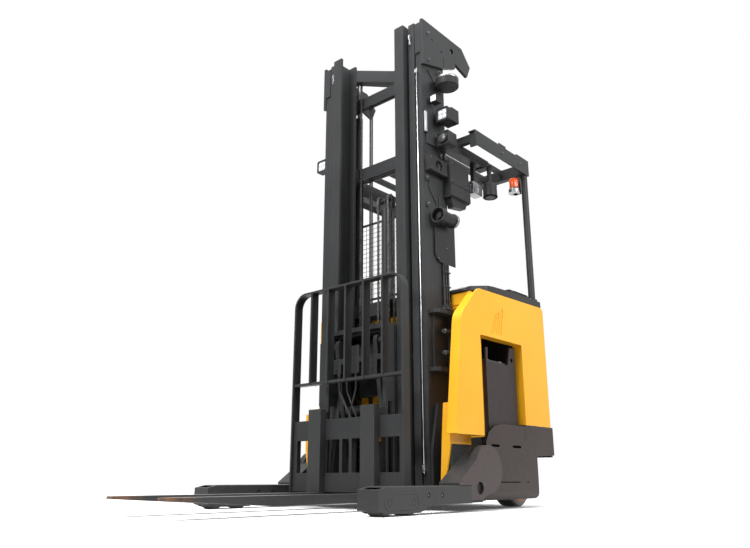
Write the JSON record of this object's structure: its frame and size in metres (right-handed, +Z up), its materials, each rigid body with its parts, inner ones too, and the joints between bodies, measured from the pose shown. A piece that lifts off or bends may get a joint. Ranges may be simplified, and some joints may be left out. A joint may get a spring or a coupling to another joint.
{
  "type": "reach truck",
  "caption": "Electric stand-up reach truck with outrigger legs, nested lift mast, scissor reach carriage, forks with load backrest and overhead guard.",
  "frame": {"origin": "on the floor under the middle of the overall length and width", "axes": "+X to the fork tips, +Y to the truck's left, +Z up along the mast"},
  "size_m": [2.472, 1.378, 3.023],
  "materials": {
    "charcoal_paint": "satin",
    "brown_grey_paint": "satin",
    "yellow_paint": "gloss",
    "black_plastic": "textured",
    "black_vinyl": "padded",
    "bright_steel": "polished",
    "polyurethane": "cast"
  },
  "bodies": {
    "chassis": {"battery": "brown_grey_paint", "beacon": "black_plastic", "cab_cushion": "black_vinyl", "cab_shell": "black_plastic", "cable_loom": "black_plastic", "chassis_frame": "charcoal_paint", "console": "black_plastic", "draw_wire": "bright_steel", "drive_motor": "charcoal_paint", "front_cowl": "yellow_paint", "front_gates": "yellow_paint", "guard_fittings": "charcoal_paint", "guard_posts": "charcoal_paint", "hand_controls": "black_plastic", "horn": "black_plastic", "lamp_wires": "black_plastic", "left_leg": "charcoal_paint", "left_side_panel": "yellow_paint", "leg_roots": "brown_grey_paint", "lift_cylinders": "charcoal_paint", "lifting_plates": "charcoal_paint", "lower_sills": "brown_grey_paint", "mast_boxes": "black_plastic", "mast_mounts": "charcoal_paint", "mast_outer": "charcoal_paint", "mast_pipes": "black_plastic", "operator_floor": "black_plastic", "overhead_guard": "charcoal_paint", "rear_bumper": "brown_grey_paint", "right_leg": "charcoal_paint", "right_side_panel": "yellow_paint", "sensor_drum": "black_plastic", "side_lamps": "black_plastic", "side_skirts": "brown_grey_paint", "top_cover": "black_plastic"},
    "mast_mid": {"mast_mid": "charcoal_paint", "lift_rods": "bright_steel"},
    "mast_inner": {"mast_inner": "charcoal_paint", "free_lift_cylinder": "charcoal_paint", "lift_chains": "bright_steel", "mast_chains": "bright_steel"},
    "lift_carriage": {"lift_carriage": "charcoal_paint"},
    "scissor_outer": {"scissor_arm_outer": "charcoal_paint"},
    "scissor_inner": {"scissor_arm_inner": "charcoal_paint"},
    "reach_head": {"reach_head": "charcoal_paint", "tilt_cylinder": "charcoal_paint", "reach_hoses": "black_plastic"},
    "tilt_rod": {"tilt_rod": "bright_steel"},
    "fork_carriage": {"fork_carriage": "charcoal_paint", "backrest": "charcoal_paint", "left_fork": "charcoal_paint", "right_fork": "charcoal_paint"},
    "left_front_wheel": {"left_front_load_wheel": "polyurethane"},
    "left_rear_wheel": {"left_rear_load_wheel": "polyurethane"},
    "right_front_wheel": {"right_front_load_wheel": "polyurethane"},
    "right_rear_wheel": {"right_rear_load_wheel": "polyurethane"},
    "drive_unit": {"drive_unit": "charcoal_paint"},
    "drive_wheel": {"drive_wheel": "polyurethane"},
    "caster_fork": {"caster_fork": "charcoal_paint"},
    "caster_wheel": {"caster_wheel": "polyurethane"}
  },
  "joints": [
    {"name": "mast_mid_lift", "type": "slide", "parent": "chassis", "child": "mast_mid", "axis": [0, 0, 1], "range_m": [0, 2.2]},
    {"name": "mast_inner_lift", "type": "slide", "parent": "mast_mid", "child": "mast_inner", "axis": [0, 0, 1], "range_m": [0, 2.2]},
    {"name": "carriage_lift", "type": "slide", "parent": "mast_inner", "child": "lift_carriage", "axis": [0, 0, 1], "range_m": [0, 2.05]},
    {"name": "reach_fold", "type": "hinge", "parent": "lift_carriage", "child": "scissor_outer", "pos_m": [-0.255, 0, 0.93], "axis": [0, -1, 0], "range_deg": [0, 51.8]},
    {"name": "scissor_cross", "type": "hinge", "parent": "scissor_outer", "child": "scissor_inner", "pos_m": [-0.195, 0, 0.54464], "axis": [0, -1, 0], "range_deg": [-103.6, 0]},
    {"name": "head_pivot", "type": "hinge", "parent": "scissor_inner", "child": "reach_head", "pos_m": [-0.135, 0, 0.93], "axis": [0, -1, 0], "range_deg": [0, 51.8]},
    {"name": "fork_tilt", "type": "hinge", "parent": "reach_head", "child": "fork_carriage", "pos_m": [-0.046, 0, 0.52], "axis": [0, -1, 0], "range_deg": [-3, 4]},
    {"name": "tilt_rod_slide", "type": "slide", "parent": "reach_head", "child": "tilt_rod", "axis": [1, 0, 0], "range_m": [-0.0198, 0.0265]},
    {"name": "left_front_roll", "type": "hinge", "parent": "chassis", "child": "left_front_wheel", "pos_m": [0.399, 0.625, 0.059], "axis": [0, 1, 0], "continuous": true},
    {"name": "left_rear_roll", "type": "hinge", "parent": "chassis", "child": "left_rear_wheel", "pos_m": [0.231, 0.625, 0.059], "axis": [0, 1, 0], "continuous": true},
    {"name": "right_front_roll", "type": "hinge", "parent": "chassis", "child": "right_front_wheel", "pos_m": [0.399, -0.625, 0.059], "axis": [0, 1, 0], "continuous": true},
    {"name": "right_rear_roll", "type": "hinge", "parent": "chassis", "child": "right_rear_wheel", "pos_m": [0.231, -0.625, 0.059], "axis": [0, 1, 0], "continuous": true},
    {"name": "drive_steer", "type": "hinge", "parent": "chassis", "child": "drive_unit", "pos_m": [-1.05, 0.43, 0.145], "axis": [0, 0, 1], "range_deg": [-90, 90]},
    {"name": "drive_roll", "type": "hinge", "parent": "drive_unit", "child": "drive_wheel", "pos_m": [-1.05, 0.43, 0.145], "axis": [0, 1, 0], "continuous": true},
    {"name": "caster_swivel", "type": "hinge", "parent": "chassis", "child": "caster_fork", "pos_m": [-1.015, -0.43, 0.09], "axis": [0, 0, 1], "continuous": true},
    {"name": "caster_roll", "type": "hinge", "parent": "caster_fork", "child": "caster_wheel", "pos_m": [-1.06, -0.43, 0.09], "axis": [0, 1, 0], "continuous": true}
  ],
  "couplings": [
    {"joint": "mast_inner_lift", "follows": "mast_mid_lift", "ratio": 1},
    {"joint": "scissor_cross", "follows": "reach_fold", "ratio": -2},
    {"joint": "head_pivot", "follows": "reach_fold", "ratio": 1},
    {"joint": "tilt_rod_slide", "follows": "fork_tilt", "m_per_rad": 0.378}
  ]
}
